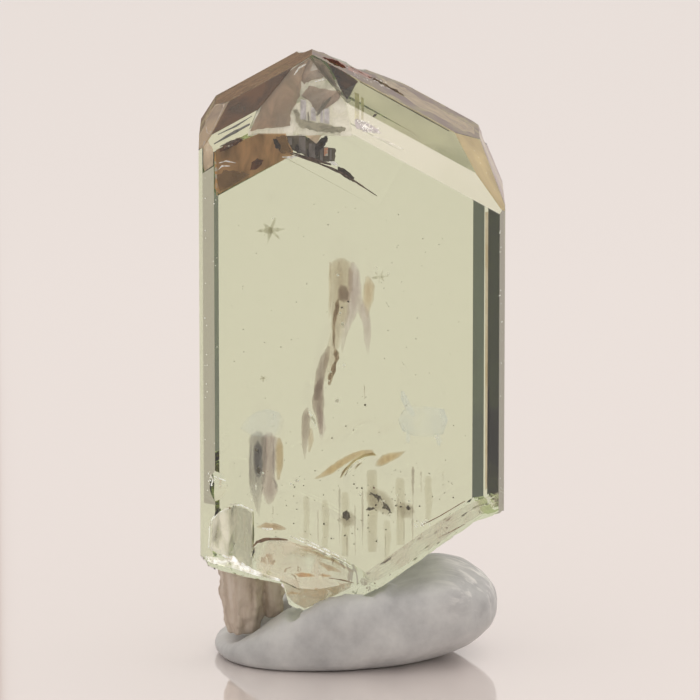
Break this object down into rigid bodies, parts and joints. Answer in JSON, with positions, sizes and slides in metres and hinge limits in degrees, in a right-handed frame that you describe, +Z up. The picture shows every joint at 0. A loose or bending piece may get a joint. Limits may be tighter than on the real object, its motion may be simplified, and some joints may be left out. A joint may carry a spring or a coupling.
{
  "type": "tanzanite crystal",
  "caption": "Clear pale straw-green prismatic zoisite crystal with a chisel top and chipped foot, with a stub of matrix rock, standing upright in a lump of grey mounting putty.",
  "frame": {"origin": "middle of the whole object's footprint, on the surface that it stands on", "axes": "+Z up along the crystal's b axis, -Y towards the viewer of its broad front face, +X to the right along its c axis"},
  "size_m": [0.013, 0.0087, 0.0265],
  "materials": {
    "clear_zoisite": "glossy",
    "matrix_rock": "rough",
    "grey_putty": "satin"
  },
  "bodies": {
    "root": {"tanzanite_crystal": "clear_zoisite", "matrix_stub": "matrix_rock", "mounting_putty": "grey_putty"}
  },
  "joints": []
}
